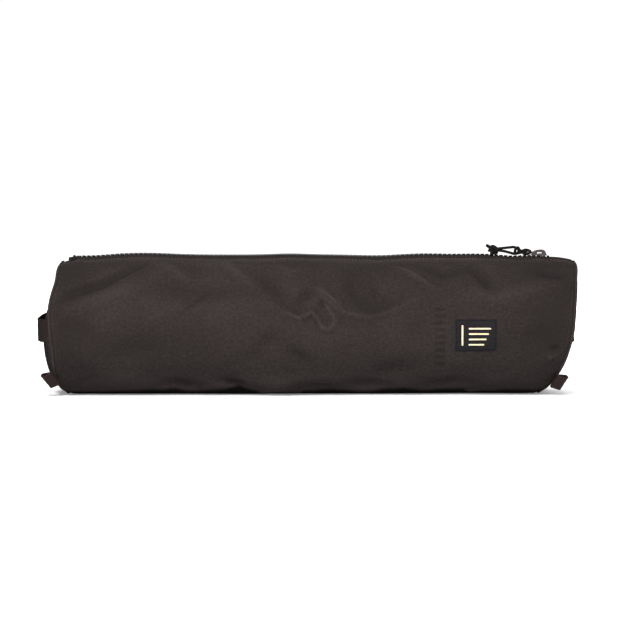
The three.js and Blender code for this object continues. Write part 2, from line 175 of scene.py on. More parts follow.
def fold_height(x, arc, width, height, *points):
    """The height of one fold at x along the bag and arc round it. It dies away towards its ends."""
    route = np.array(points, float) * MM
    route[:, 1] = ROUND * np.arccos(np.clip((route[:, 1] - AXIS_Z) / HALF_H, -1, 1))
    spans = np.linalg.norm(np.diff(route, axis=0), axis=1)
    total, before = spans.sum(), 0.0
    nearest = np.full(x.shape, 1.0)
    place = np.zeros(x.shape)
    for start, end, span in zip(route[:-1], route[1:], spans):
        step = (end - start) / span
        t = np.clip((x - start[0]) * step[0] + (arc - start[1]) * step[1], 0, span)
        gap = np.hypot(x - start[0] - step[0] * t, arc - start[1] - step[1] * t)
        place = np.where(gap < nearest, (before + t) / total, place)
        nearest = np.minimum(gap, nearest)
        before += span
    fade = 0.35 + 0.65 * np.sin(math.pi * place)
    sharpness = 1.3 if width < 5.5 else 2.0  # a narrow fold has a sharper crest
    return height * MM * fade * np.exp(-((nearest / (width * MM)) ** sharpness))


def relief(x, arc, side):
    """How far the cloth stands proud of its round shape, arc metres round from the crest."""
    front = sum(fold_height(x, arc, *fold) for fold in FRONT_FOLDS)
    back = 3.0 * MM * ripple(x / 0.06 + arc / 0.09, arc / 0.028 - x / 0.2, 1)
    back = back - 3.0 * MM * np.abs(ripple(x / 0.045 - arc / 0.05, arc / 0.03, 2))
    slow = 1.7 * MM * ripple(x / 0.075 + 5, arc / 0.032 + 3, 3)
    fine = 0.45 * MM * ripple(x / 0.019 + arc / 0.03, arc / 0.013, 4)
    # the folds die away under the bag, and at the hems and end seams they give way to puckers
    under = smooth((0.93 * math.pi * ROUND - arc) / (0.16 * ROUND))
    shape = (np.where(side < 0, front, back) + slow + fine) * under
    from_hem = arc - HEM * ROUND
    hem_pucker = 0.45 * MM * ripple(x / 0.0085, from_hem / 0.02, 5)
    shape = shape * smooth(from_hem / 0.012) + hem_pucker * bump(from_hem, 0, 0.009)
    from_seam = SEAM_X - np.abs(x)
    seam_pucker = 0.7 * MM * ripple(arc / 0.0105, from_seam / 0.02 + 9 * (x > 0), 6)
    return shape * smooth(from_seam / 0.014) + seam_pucker * bump(from_seam, 0, 0.012)


def crest_height(x):
    """The zip line rises and dips a little along the bag."""
    waves = ((-165, 37, 1.8), (-212, 16, -0.8), (-19, 25, 1.0), (66, 26, -0.9), (115, 28, 1.0),
             (165, 20, 0.7), (203, 14, -1.3), (243, 20, -1.5), (-232, 16, -0.8), (-247, 8, -2.0))
    above = sum(height * MM * bump(x, middle * MM, width * MM) for middle, width, height in waves)
    return 0.4 * MM + above


# How high above the ground the cloth turns under, along the bag: (x, z) in mm.
UNDERSIDE = ((-245, 5), (-205, 6.5), (-170, 8), (-139, 9.5), (-120, 6.5), (-92, 9), (-69, 13), (-54, 8),
             (-44, 2), (-14, 2), (-6, 7), (20, 8.5), (50, 6), (92, 10), (115, 7), (150, 9.5),
             (158, 4), (172, 6.5), (195, 8.5), (215, 8.5), (235, 6))


def turned_under(x, z):
    """1 where the cloth has turned under the bag, and 0 above that. It shapes the tuck and also masks the
    painted shade under the bag.
    """
    edge = np.interp(x, *(np.array(UNDERSIDE) * MM).T) + 0.7 * MM * ripple(x / 0.012, 0 * x, 10)
    return smooth((edge - z) / (4.5 * MM))


# How far each end seam stands from the middle of the bag, going up: (z, x) in mm.
LEFT_SEAM = ((0, 237), (5, 241.5), (12, 247.5), (22, 249.6), (40, 250), (65, 252.5), (85, 254.2),
             (96, 252.7), (104, 250.7), (114, 247.8), (124, 248.3), (130, 246.5), (136, 240.5))
RIGHT_SEAM = ((0, 225), (5, 230.5), (10, 235), (20, 241), (30, 246), (45, 251.2), (65, 255.5),
              (88, 257.5), (104, 259.5), (114, 260.2), (127, 263.8), (136, 263.5))


def seam_shift(z, side):
    """How far the end seam stands beyond SEAM_X at a height, rounded off at the line's corners."""
    line = np.array(LEFT_SEAM if side < 0 else RIGHT_SEAM) * MM
    spread = np.array([-5, -2.5, 0, 2.5, 5]) * MM
    place = np.mean([np.interp(z + s, line[:, 0], line[:, 1]) for s in spread], axis=0)
    return side * (place - SEAM_X)


def lean(x, z):
    """The soft ends don't stand square: the right one leans out at the top and in at the ground."""
    start = 0.165
    at_right = smooth((x - start) / (SEAM_X - start))
    at_left = smooth((-x - start) / (SEAM_X - start))
    return seam_shift(z, 1) * at_right + seam_shift(z, -1) * at_left


def bag_surface(x, angle):
    """The outer face of the cloth. x runs along the bag, angle from the crest, negative in front."""
    from_seam = SEAM_X - np.abs(x)
    tuck = 2.0 * MM * (1 - smooth(from_seam / 0.016)) ** 2 + 1.4 * MM * (1 - smooth(from_seam / 0.003))
    hem_gap = np.maximum(np.abs(angle) - HEM, 0) * ROUND
    along_zip = smooth((lip_high.x + 3 * MM - np.abs(x)) / 0.02)
    tuck = tuck + HEM_DROP * (1 - smooth(hem_gap / 0.026)) * along_zip
    proud = relief(x, np.abs(angle) * ROUND, np.where(angle < 0, -1, 1)) - tuck
    hem_roll = 0.5 * MM * bump(np.abs(angle) * ROUND - HEM * ROUND, 0.003, 0.0028)
    proud = proud + hem_roll * (np.abs(x) < lip_high.x)
    upness = np.maximum(np.cos(angle), 0)
    y = (HALF_W + proud) * np.sin(angle)
    z = AXIS_Z + (HALF_H + proud) * np.cos(angle) + crest_height(x) * upness**3
    flatten = 2.5 * MM  # the underside meets the ground in a curve of this size
    z = np.maximum(0.5 * (z + np.sqrt(z * z + flatten * flatten)) - 0.6 * MM, 0.5 * MM)
    y = y - np.sign(y) * 1.2 * MM * turned_under(x, z) * smooth(np.abs(y) / 0.02)
    return np.stack([x + lean(x, z), y, z], axis=-1)


def cloth(x, angle, out=0.0):
    """A point on the cloth, or out metres proud of it."""
    x, angle = np.broadcast_arrays(np.asarray(x, float), np.asarray(angle, float))
    step = 0.4 * MM
    here = bag_surface(x, angle)
    along = bag_surface(x + step, angle) - here
    around = bag_surface(x, angle + step / ROUND) - here
    normal = unit(np.cross(along, around))
    outward = np.stack([0 * x, np.sin(angle), np.cos(angle)], axis=-1)
    sign = np.sign((normal * outward).sum(-1, keepdims=True))
    return here + normal * sign * np.asarray(out, float)[..., None]


# ---- how the mouth opens
MOUTH_LEFT = SLIDER_X - TRAVEL + 4 * MM
MOUTH_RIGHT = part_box("front_top_stop")[0].x - 1 * MM


def open_share(x, angle):
    """How far a point goes with its lip: all the way at the middle of the zip, nothing at its ends."""
    t = np.clip((x - MOUTH_LEFT) / (MOUTH_RIGHT - MOUTH_LEFT), 0, 1)
    lens = np.clip(4 * t * (1 - t), 0, 1) ** 1.05
    hinge_fold = smooth((HINGE_ANGLE + 0.04 - np.abs(angle)) / 0.5)
    return lens * hinge_fold


# ---- mesh builders
def grid_faces(rows, columns, start=0):
    """The faces of a sheet of points."""
    index = start + np.arange(rows * columns).reshape(rows, columns)
    corners = (index[:-1, :-1], index[1:, :-1], index[1:, 1:], index[:-1, 1:])
    return np.stack([c.ravel() for c in corners], axis=1).tolist()


def ring_faces(rows, columns, start=0, closed=False):
    """The faces through rings of points, with the ends capped unless the rings close on themselves."""
    index = start + np.arange(rows * columns).reshape(rows, columns)
    if closed:
        index = np.vstack([index, index[:1]])
    following = np.roll(index, -1, axis=1)
    corners = (index[:-1], index[1:], following[1:], following[:-1])
    faces = np.stack([c.ravel() for c in corners], axis=1).tolist()
    return faces if closed else faces + [index[0].tolist(), index[-1, ::-1].tolist()]


def new_object(name, data):
    made = bpy.data.objects.new(name, data)
    bpy.context.scene.collection.objects.link(made)
    return made


def make_piece(name, points, faces, materials, uv=None, face_materials=None, sharp=40):
    """A smooth-shaded object, with edges kept sharp where faces meet at over sharp degrees."""
    mesh = bpy.data.meshes.new(name)
    mesh.from_pydata(np.asarray(points, float).reshape(-1, 3).tolist(), [], faces)
    for material in materials:
        mesh.materials.append(material)
    if face_materials is not None:
        mesh.polygons.foreach_set("material_index", np.asarray(face_materials, np.int32))
    if uv is not None:
        layer = mesh.uv_layers.new(name="weave")
        loops = np.zeros(len(mesh.loops), np.int32)
        mesh.loops.foreach_get("vertex_index", loops)
        layer.data.foreach_set("uv", np.asarray(uv, np.float32).reshape(-1, 2)[loops].ravel())
    editable = bmesh.new()
    editable.from_mesh(mesh)
    bmesh.ops.recalc_face_normals(editable, faces=editable.faces)
    editable.to_mesh(mesh)
    editable.free()
    mesh.polygons.foreach_set("use_smooth", np.ones(len(mesh.polygons), bool))
    mesh.set_sharp_from_angle(angle=math.radians(sharp))
    piece = new_object(name, mesh)
    return piece


def shell(name, outer, inner, materials, uv):
    """A closed sheet between two grids of points; its inner face has the second material."""
    rows, columns = outer.shape[:2]
    count = rows * columns
    outside = grid_faces(rows, columns)
    inside = [face[::-1] for face in grid_faces(rows, columns, count)]
    index = np.arange(count).reshape(rows, columns)
    edge = np.concatenate([index[0, :-1], index[:-1, -1], index[-1, :0:-1], index[:0:-1, 0]])
    following = np.roll(edge, -1)
    rim = np.stack([edge, following, following + count, edge + count], axis=1).tolist()
    marks = [0] * len(outside) + [1] * len(inside) + [0] * len(rim)
    points = np.concatenate([outer.reshape(-1, 3), inner.reshape(-1, 3)])
    both_uv = np.concatenate([uv.reshape(-1, 2)] * 2)
    return make_piece(name, points, outside + inside + rim, materials, both_uv, marks)


def loft(name, rings, material, closed=False):
    """A closed skin through rings of points."""
    rings = np.asarray(rings, float)
    faces = ring_faces(*rings.shape[:2], closed=closed)
    middles = rings.mean(axis=1)
    around = np.cumsum(np.linalg.norm(rings - np.roll(rings, 1, axis=1), axis=2).mean(axis=0))
    uv = np.stack(np.broadcast_arrays(run_along(middles)[:, None], around), axis=-1)
    return make_piece(name, rings, faces, [material], uv)


def through(points, count, closed=False):
    """Evenly spaced points on a smooth curve through the given ones."""
    points = np.asarray(points, float)
    if closed:
        padded = np.vstack([points[-1:], points, points[:2]])
    else:
        padded = np.vstack([2 * points[0] - points[1], points, 2 * points[-1] - points[-2]])
    t = np.linspace(0, 1, 24, endpoint=False)[:, None]
    pieces = []
    for a, b, c, d in zip(padded[:-3], padded[1:-2], padded[2:-1], padded[3:]):
        curve = 2 * b + (c - a) * t + (2 * a - 5 * b + 4 * c - d) * t**2
        pieces.append(0.5 * (curve + (3 * b - a - 3 * c + d) * t**3))
    fine = np.vstack(pieces + [padded[-2][None]])
    run = run_along(fine)
    wanted = np.linspace(0, run[-1], count + 1 if closed else count)
    spaced = points_at(wanted, run, fine)
    return spaced[:-1] if closed else spaced


def rings_along(path, section, up=(0, 0, 1), closed=False):
    """Rings of a section drawn in (across, up), carried along a path without twisting."""
    path, section = np.asarray(path, float), np.asarray(section, float)
    if closed:
        tangent = np.roll(path, -1, axis=0) - np.roll(path, 1, axis=0)
    else:
        tangent = np.gradient(path, axis=0)
    lift = np.asarray(up, float)
    rings = []
    for point, forward in zip(path, unit(tangent)):
        lift = unit(lift - forward * (lift @ forward))
        across = np.cross(forward, lift)
        rings.append(point + section[:, :1] * across + section[:, 1:] * lift)
    return np.array(rings)


def circle(radius, sides):
    angles = np.arange(sides) * 2 * math.pi / sides
    return np.stack([radius * np.cos(angles), radius * np.sin(angles)], axis=1)


def strap_section(width, thickness, steps):
    """A webbing's section: flat faces with soft selvedges, its width up and its thickness across."""
    half, round_over = width / 2, thickness / 2
    rise = np.linspace(-half + round_over, half - round_over, steps)
    belly = 0.08 * thickness * np.cos(np.linspace(0, 6 * math.pi, steps))
    right = np.stack([round_over + belly, rise], axis=1)
    left = np.stack([-round_over - belly, rise], axis=1)[::-1]
    return np.vstack([right, [[0, half]], left, [[0, -half]]])


def set_attribute(piece, name, values):
    """One value per point. A sheet's outer face gives the values, and its inner face repeats them."""
    attribute = piece.data.attributes.get(name) or piece.data.attributes.new(name, "FLOAT", "POINT")
    attribute.data.foreach_set("value", np.resize(values, len(attribute.data)).astype(np.float32))


def follow_lip(piece, side, x, angle):
    """The piece bends between the shell and its lip, most at the middle of the zip."""
    lip = "front_lip" if side < 0 else "back_lip"
    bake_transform(piece, "shell", lip, start=(0, 0, 0), end=(0, 0, 1))
    set_attribute(piece, "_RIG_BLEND", open_share(x, angle))


STITCH_SIDES = 6
STITCH_ALONG = np.array([-0.5, -0.3, 0, 0.3, 0.5])  # the rings of a stitch, as shares of its length
STITCH_RISE = np.array([-1.2, 0.3, 0.7, 0.3, -1.2])  # its ends go into the cloth, in thread radii
STITCH_POINTS = STITCH_SIDES * len(STITCH_ALONG)


def sew(name, x, angle, material, lift, length, pitch, radius):
    """A run of stitches on the cloth, along a line of places given by x and angle."""
    places = cloth(x, angle, lift)
    outward = cloth(x, angle, 1) - cloth(x, angle)
    run = run_along(places)
    count = int(run[-1] / pitch)
    points, faces = [], []
    for k in range(count):
        middle = (k + 0.5) * run[-1] / count
        steps = middle + length * STITCH_ALONG
        up = points_at(middle, run, outward)
        line = points_at(steps, run, places) + up * radius * STITCH_RISE[:, None]
        rings = rings_along(line, circle(radius, STITCH_SIDES), up)
        for end in (0, -1):
            rings[end] = line[end] + (rings[end] - line[end]) * 0.4
        faces += ring_faces(len(STITCH_ALONG), STITCH_SIDES, start=k * STITCH_POINTS)
        points.append(rings.reshape(-1, 3))
    return make_piece(name, np.concatenate(points), faces, [material])


# ---- materials
class Nodes:
    """The node tree of a material or world. Places are in metres, and noise scales per metre."""

    def __init__(self, owner):
        owner.use_nodes = True
        self.tree = owner.node_tree

    def add(self, kind, **values):
        node = self.tree.nodes.new("ShaderNode" + kind)
        for key, value in values.items():
            name = key.replace("_", " ")
            if name in node.inputs:
                node.inputs[name].default_value = value
            else:
                setattr(node, key, value)
        return node

    def link(self, source, target):
        self.tree.links.new(source, target)

    def weave_place(self):
        return self.add("UVMap", uv_map="weave").outputs["UV"]

    def object_place(self):
        return self.add("TexCoord").outputs["Object"]

    def noise(self, place, scale, detail=3.0, roughness=0.55):
        node = self.add("TexNoise", Scale=scale, Detail=detail, Roughness=roughness)
        self.link(place, node.inputs["Vector"])
        return node.outputs["Fac"]

    def bands(self, place, pitch, direction):
        scale = 0.314159 / pitch  # the bands of a wave texture are 0.314159 apart at a scale of 1
        node = self.add("TexWave", wave_type="BANDS", bands_direction=direction, Scale=scale)
        self.link(place, node.inputs["Vector"])
        return node.outputs["Fac"]

    def maths(self, operation, a, b):
        node = self.add("Math", operation=operation)
        for socket, value in zip(node.inputs, (a, b)):
            if isinstance(value, (int, float)):
                socket.default_value = value
            else:
                self.link(value, socket)
        return node.outputs[0]

    def fade(self, fac, low, high, start=0.0, end=1.0):
        """low where fac is at start, rising to high where it is at end."""
        node = self.add("MapRange")
        for name, value in (("From Min", start), ("From Max", end), ("To Min", low), ("To Max", high)):
            node.inputs[name].default_value = value
        self.link(fac, node.inputs["Value"])
        return node.outputs["Result"]

    def clamped(self, value):
        node = self.add("Clamp")
        self.link(value, node.inputs["Value"])
        return node.outputs[0]

    def attribute(self, name):
        return self.add("Attribute", attribute_name=name).outputs["Fac"]

    def mix(self, fac, a, b):
        node = self.add("Mix", data_type="RGBA")
        for socket, value in zip((node.inputs[0], node.inputs[6], node.inputs[7]), (fac, a, b)):
            if hasattr(value, "type"):
                self.link(value, socket)
            else:
                socket.default_value = value if isinstance(value, float) else (*value, 1)
        return node.outputs[2]


class Surface(Nodes):
    """A node material, built up one texture at a time."""

    def __init__(self, name, roughness):
        self.material = bpy.data.materials.new(name)
        super().__init__(self.material)
        self.shader = self.tree.nodes["Principled BSDF"]
        self.shader.inputs["Roughness"].default_value = roughness

    def colour(self, value):
        self.link(value, self.shader.inputs["Base Color"])

    def rough(self, value):
        self.link(value, self.shader.inputs["Roughness"])

    def gloss(self, level):
        self.shader.inputs["Specular IOR Level"].default_value = level

    def matte(self):
        """Cloth has hardly any gloss, and only a trace of fuzz that catches the light."""
        self.gloss(0.0)
        self.shader.inputs["Sheen Weight"].default_value = 0.003
        self.shader.inputs["Sheen Roughness"].default_value = 0.5

    def raise_by(self, heights):
        """heights is a list of (height socket, millimetres), from the finest up."""
        normal = None
        for height, size in heights:
            node = self.add("Bump", Distance=size * MM)
            self.link(height, node.inputs["Height"])
            if normal:
                self.link(normal, node.inputs["Normal"])
            normal = node.outputs["Normal"]
        self.link(normal, self.shader.inputs["Normal"])


UNDER_BAG_SHADE = (0.0030, 0.0022, 0.0021)  # painted shade, nearly black, on the cloth that is turned under the bag


def woven(name, dark, light, thread, roughness, depth=0.12):
    """Plain-weave cloth: threads over and under, slubs, a faint melange, slow fading, wear mixed with
    painted light and shade, and painted shade under the bag.
    """
    s = Surface(name, roughness)
    place = s.weave_place()
    warp = s.bands(place, thread, "X")
    weft = s.bands(place, thread, "Y")
    over = s.add("TexChecker", Scale=0.5 / thread)
    s.link(place, over.inputs["Vector"])
    threads = s.add("Mix", data_type="FLOAT")
    s.link(over.outputs["Fac"], threads.inputs[0])
    s.link(warp, threads.inputs[2])
    s.link(weft, threads.inputs[3])
    threads = threads.outputs[0]
    melange = s.noise(place, 900, 2.0)
    slubs = s.noise(place, 330, 3.0, 0.7)
    patches = s.noise(s.object_place(), 22, 3.0)
    shade = s.maths("ADD", s.fade(melange, -0.35, 0.55), s.fade(patches, -0.2, 0.35))
    shade = s.maths("ADD", shade, s.fade(slubs, -0.75, 0.95))
    shade = s.maths("ADD", shade, s.fade(threads, -0.15, 0.15))
    # the attribute adds wear and painted light and shade to the tone
    shade = s.maths("ADD", shade, s.maths("MULTIPLY", s.attribute("wear_and_painted_light"), 0.5))
    # then the painted shade under the bag darkens the colour to near black
    s.colour(s.mix(s.attribute("painted_under_bag_shade"), s.mix(s.clamped(shade), dark, light), UNDER_BAG_SHADE))
    s.rough(s.fade(patches, roughness - 0.07, roughness + 0.07))
    s.raise_by([(melange, 0.06), (threads, depth)])
    s.matte()
    return s.material


def ribbed(name, dark, light, pitch):
    """Webbing and tapes: ribs across the strap, a slanting twill and fuzz."""
    s = Surface(name, 0.9)
    place = s.weave_place()
    ribs = s.bands(place, pitch, "X")
    slant = s.bands(place, pitch * 0.8, "DIAGONAL")
    fuzz = s.noise(place, 2500, 3.0)
    height = s.maths("ADD", ribs, s.maths("MULTIPLY", slant, 0.5))
    shade = s.maths("ADD", s.maths("MULTIPLY", height, 0.45), s.fade(fuzz, -0.2, 0.5))
    s.colour(s.mix(s.clamped(shade), dark, light))
    s.raise_by([(fuzz, 0.05), (height, 0.22)])
    s.matte()
    return s.material


def coated(name, dark, light):
    """The waterproofed inner face of the cloth."""
    s = Surface(name, 0.55)
    place = s.object_place()
    grain = s.noise(place, 1400, 2.0)
    clouds = s.noise(place, 30, 3.0)
    s.colour(s.mix(clouds, dark, light))
    s.rough(s.fade(grain, 0.45, 0.65))
    s.raise_by([(grain, 0.05)])
    s.gloss(0.2)
    return s.material


def braided(name, dark, light, pitch):
    """Cord and thread: slanting strands crossed by ribs, with fuzz."""
    s = Surface(name, 0.8)
    place = s.weave_place()
    strands = s.bands(place, pitch, "DIAGONAL")
    ribs = s.bands(place, pitch * 1.1, "X")
    height = s.maths("MAXIMUM", strands, s.maths("MULTIPLY", ribs, 0.8))
    fuzz = s.noise(place, 4000, 2.0)
    s.colour(s.mix(s.maths("MULTIPLY", height, fuzz), dark, light))
    s.raise_by([(fuzz, 0.04), (height, 0.16)])
    s.matte()
    return s.material


def moulded(name, dark, light):
    """Dull moulded plastic with a fine grain."""
    roughness = 0.5
    s = Surface(name, roughness)
    place = s.object_place()
    grain = s.noise(place, 1800, 2.0)
    s.colour(s.mix(grain, dark, light))
    s.rough(s.fade(grain, roughness - 0.1, roughness + 0.12))
    s.raise_by([(grain, 0.03)])
    s.gloss(0.0)
    return s.material


def cast_metal(name, dark, light):
    """Lacquered zinc: faintly brushed, with paler rubbed edges."""
    roughness = 0.5
    s = Surface(name, roughness)
    s.gloss(0.12)
    place = s.object_place()
    brushed = s.noise(place, 1100, 4.0)
    blotches = s.noise(place, 240, 2.0)
    edges = s.fade(s.add("NewGeometry").outputs["Pointiness"], 0, 1, 0.5, 0.62)
    shade = s.maths("ADD", s.fade(blotches, 0.1, 0.7), edges)
    s.colour(s.mix(s.clamped(shade), dark, light))
    s.rough(s.fade(brushed, roughness - 0.1, roughness + 0.15))
    s.raise_by([(brushed, 0.02)])
    return s.material


cloth_material = woven("charcoal_cloth", (0.0114, 0.0093, 0.0090), (0.024, 0.0197, 0.0191),
                       0.55 * MM, 0.9)
label_material = woven("label_ground", (0.0070, 0.0066, 0.0074), (0.0150, 0.0143, 0.0160),
                       0.3 * MM, 0.85, 0.06)
motif_material = woven("label_thread", (0.42, 0.34, 0.21), (0.64, 0.56, 0.39), 0.4 * MM, 0.8, 0.08)
print_material = woven("tonal_print", (0.0085, 0.0070, 0.0070), (0.0180, 0.0150, 0.0148),
                       0.55 * MM, 0.85, 0.08)
lining_material = coated("coated_lining", (0.008, 0.0072, 0.0072), (0.012, 0.0105, 0.0105))
binding_material = ribbed("binding_tape", (0.005, 0.0045, 0.0045), (0.013, 0.0115, 0.0115), 0.9 * MM)
webbing_material = ribbed("black_webbing", (0.0068, 0.0050, 0.0047), (0.0182, 0.0136, 0.0130), 1.3 * MM)
loop_material = ribbed("loop_webbing", (0.0112, 0.0076, 0.0073), (0.0290, 0.0198, 0.0190), 1.3 * MM)
tape_material = ribbed("zip_tape", (0.0060, 0.0050, 0.0048), (0.0200, 0.0168, 0.0160), 0.8 * MM)
cord_material = braided("pull_cord", (0.003, 0.0027, 0.0027), (0.013, 0.0115, 0.0105), 0.9 * MM)
thread_material = braided("sewing_thread", (0.008, 0.0068, 0.0066), (0.022, 0.019, 0.018), 0.4 * MM)
tooth_material = moulded("zip_plastic", (0.0020, 0.0018, 0.0018), (0.0042, 0.0038, 0.0036))
metal_material = cast_metal("slider_metal", (0.008, 0.0066, 0.0063), (0.037, 0.0312, 0.0295))


# ---- camera, floor and light
def add_camera():
    """A long lens a little above level, slightly left of square-on."""
    distance = 2.45
    view_width = 0.64
    elevation = math.radians(3.3)
    swing = math.radians(1.2)
    target = Vector((0.0105, 0, 0.0725))
    direction = Vector((-math.sin(swing) * math.cos(elevation),
                        -math.cos(swing) * math.cos(elevation), math.sin(elevation)))
    data = bpy.data.cameras.new("camera")
    data.lens = data.sensor_width * distance / view_width
    data.clip_end = 50
    camera = new_object("camera", data)
    camera.location = target + direction * distance
    camera.rotation_euler = (-direction).to_track_quat("-Z", "Y").to_euler()
    bpy.context.scene.camera = camera


def add_light(name, place, aim, size, power, colour=(1, 1, 1)):
    data = bpy.data.lights.new(name, "AREA")
    data.shape = "RECTANGLE"
    data.size, data.size_y = size
    data.energy = power
    data.color = colour
    light = new_object(name, data)
    light.location = place
    light.rotation_euler = (Vector(aim) - Vector(place)).to_track_quat("-Z", "Y").to_euler()


def add_surround():
    """White all round the horizon and dimmer overhead, so that the lamps shape the folds."""
    world = bpy.data.worlds.new("studio")
    sky = Nodes(world)
    split = sky.add("SeparateXYZ")
    sky.link(sky.add("TexCoord").outputs["Generated"], split.inputs[0])
    background = sky.tree.nodes["Background"]
    background.inputs["Color"].default_value = (1, 1, 1, 1)
    sky.link(sky.fade(split.outputs["Z"], 1.02, 0.25, 0.08, 0.3), background.inputs["Strength"])
    bpy.context.scene.world = world


def add_studio():
    """A pale floor that glows more and more away from the bag, so it runs into the white surround."""
    reach = 30
    floor_mesh = bpy.data.meshes.new("floor")
    corners = [(-reach, -reach, 0), (reach, -reach, 0), (reach, reach, 0), (-reach, reach, 0)]
    floor_mesh.from_pydata(corners, [], [(0, 1, 2, 3)])
    white = Surface("floor_white", 0.9)
    white.shader.inputs["Base Color"].default_value = (0.62, 0.62, 0.62, 1)
    white.shader.inputs["Emission Color"].default_value = (1, 1, 1, 1)
    away = white.add("VectorMath", operation="LENGTH")
    white.link(white.object_place(), away.inputs[0])
    glow = white.fade(away.outputs["Value"], 0.20, 0.95, 0.4, 2.2)
    white.link(glow, white.shader.inputs["Emission Strength"])
    floor_mesh.materials.append(white.material)
    new_object("floor", floor_mesh)
    add_surround()
    add_light("key", (-0.5, -1.95, 1.4), (0, 0, 0.07), (0.45, 0.45), 131, (1, 0.99, 0.98))
    add_light("overhead", (0.1, 0.3, 2.0), (0, 0, 0.07), (1.0, 1.0), 26)
    add_light("rear", (0.4, 1.9, 1.5), (0, 0, 0.08), (1.2, 0.8), 70)
    add_light("fill", (0.5, -2.6, 0.35), (0, 0, 0.05), (1.2, 0.5), 36)
    bpy.context.scene.view_settings.view_transform = "Standard"


add_camera()
add_studio()


# ---- the pull cord, made first
CORD = 2.7 * MM
knot_middle = sum(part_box("pull_cord_knot"), Vector()) / 2
hitch_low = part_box("pull_cord_hitch")[0]
bar = Vector(joints["cord_swing"]["pos_m"])


def cord_tube(name, points, radius, count, closed=False, taper=True):
    """A round length of cord, whose free ends are rounded off where it tapers."""
    rings = rings_along(through(points, count, closed), circle(radius, 12), (0, 1, 0.2), closed)
    if taper and not closed:
        for end, share in ((0, 0.55), (1, 0.88), (-1, 0.55), (-2, 0.88)):
            middle = rings[end].mean(axis=0)
            rings[end] = middle + (rings[end] - middle) * share
    piece = loft(name, rings, cord_material, closed)
    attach(piece, "pull_cord")
    return piece


def knot_piece():
    """Both strands tied together in one overhand knot, a trefoil drawn out along the cord."""
    t = np.linspace(0, 2 * math.pi, 90, endpoint=False)
    round_tube = 2 + np.cos(3 * t)
    shape = np.stack([np.sin(3 * t) * 0.8, round_tube * np.cos(2 * t), round_tube * np.sin(2 * t)], axis=1)
    shape = shape * np.array([3.3, 0.85, 0.78]) * 1.32 * MM
    tilt = math.radians(18)
    turn = np.array([[math.cos(tilt), 0, math.sin(tilt)],
                     [0, 1, 0],
                     [-math.sin(tilt), 0, math.cos(tilt)]])
    pieces = []
    for k, offset in enumerate((-0.45, 0.45)):
        path = shape * (1 + 0.06 * k) + np.array([offset * MM * 1.4, 0, offset * MM])
        path = path @ turn.T + np.array(knot_middle)
        rings = rings_along(path, circle(1.2 * MM, 10), (1, 0, 0), closed=True)
        piece = loft(f"knot_turns_{k + 1}", rings, cord_material, closed=True)
        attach(piece, "pull_cord")
        pieces.append(piece)
    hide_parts("pull_cord_knot")
    return pieces


def hitch_piece():
    """A lark's head: four turns of cord drawn tight round the bail's bar, and a bight across them."""
    near, far = hitch_low.x + 3.0 * MM, bar.x + 2.9 * MM
    middle = (near + far) / 2
    pieces = []
    for k, (y, lean_out) in enumerate(((-2.6, -0.5), (-0.9, 0.35), (0.9, -0.35), (2.6, 0.5))):
        angles = np.linspace(0, 2 * math.pi, 14, endpoint=False)
        long = ((far - near) / 2 + 0.6 * MM) * (1 - 0.03 * abs(y))
        tall = (2.2 - 0.2 * abs(y)) * MM
        ring = [(middle + long * math.cos(a), y * MM + lean_out * MM * math.cos(a),
                 bar.z + 0.1 * MM + tall * math.sin(a) * (1 - 0.22 * math.cos(a))) for a in angles]
        pieces.append(cord_tube(f"hitch_turn_{k + 1}", ring, CORD / 2, 44, closed=True))
    angles = np.linspace(0, 2 * math.pi, 12, endpoint=False)
    bight = [(207.5 + 2.1 * math.cos(a) + 0.6 * math.sin(a), 1.9 * math.cos(a),
              141.8 + 2.9 * math.sin(a)) for a in angles]
    pieces.append(cord_tube("hitch_bight", np.array(bight) * MM, 1.45 * MM, 40, closed=True))
    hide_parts("pull_cord_hitch")
    return pieces


def tail_piece(name, start, end):
    """A free end of the cord, from start to end in mm from the middle of the knot."""
    start, end = knot_middle + Vector(start) * MM, knot_middle + Vector(end) * MM
    points = [start, (start + end) / 2 + Vector((0, 0, 0.4)) * MM, end]
    piece = cord_tube(f"cord_{name}", points, 0.6 * CORD, 14)
    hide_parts(f"pull_cord_{name}")
    return piece


# Each strand leaves the bail's bar, runs through the hitch and ends at the middle of the knot, in mm.
STRAND_ROUTES = {
    "upper": ((216.5, -0.8, 141.4), (212.5, -0.5, 141.5), (209.5, -0.3, 142.6), (205.0, -0.5, 145.2),
              (200.0, -0.5, 145.0), (194.5, -0.45, 144.4), (189.0, -0.4, 143.9), (184.0, -0.3, 143.0)),
    "lower": ((216.5, 0.8, 139.9), (212.5, 0.6, 139.9), (209.5, 0.4, 139.3), (205.0, 0.5, 138.6),
              (199.5, 0.5, 140.0), (194.5, 0.45, 141.2), (189.0, 0.4, 141.9), (184.0, 0.3, 142.3)),
}


def pull_cord():
    knots = knot_piece()
    hitch = hitch_piece()
    tails = [tail_piece("tail_upper", (-2.6, -0.5, 1.2), (-7.6, -0.8, 4.9)),
             tail_piece("tail_lower", (-1.6, -2.8, -0.8), (-2.9, -7.0, -5.0))]
    for name, y in (("upper", -0.9 * MM), ("lower", 0.9 * MM)):
        points = np.vstack([[bar.x, y, bar.z], np.array(STRAND_ROUTES[name]) * MM])
        piece = cord_tube(f"cord_strand_{name}", points, CORD / 2, 60, taper=False)
        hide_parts(f"pull_cord_{name}")


pull_cord()


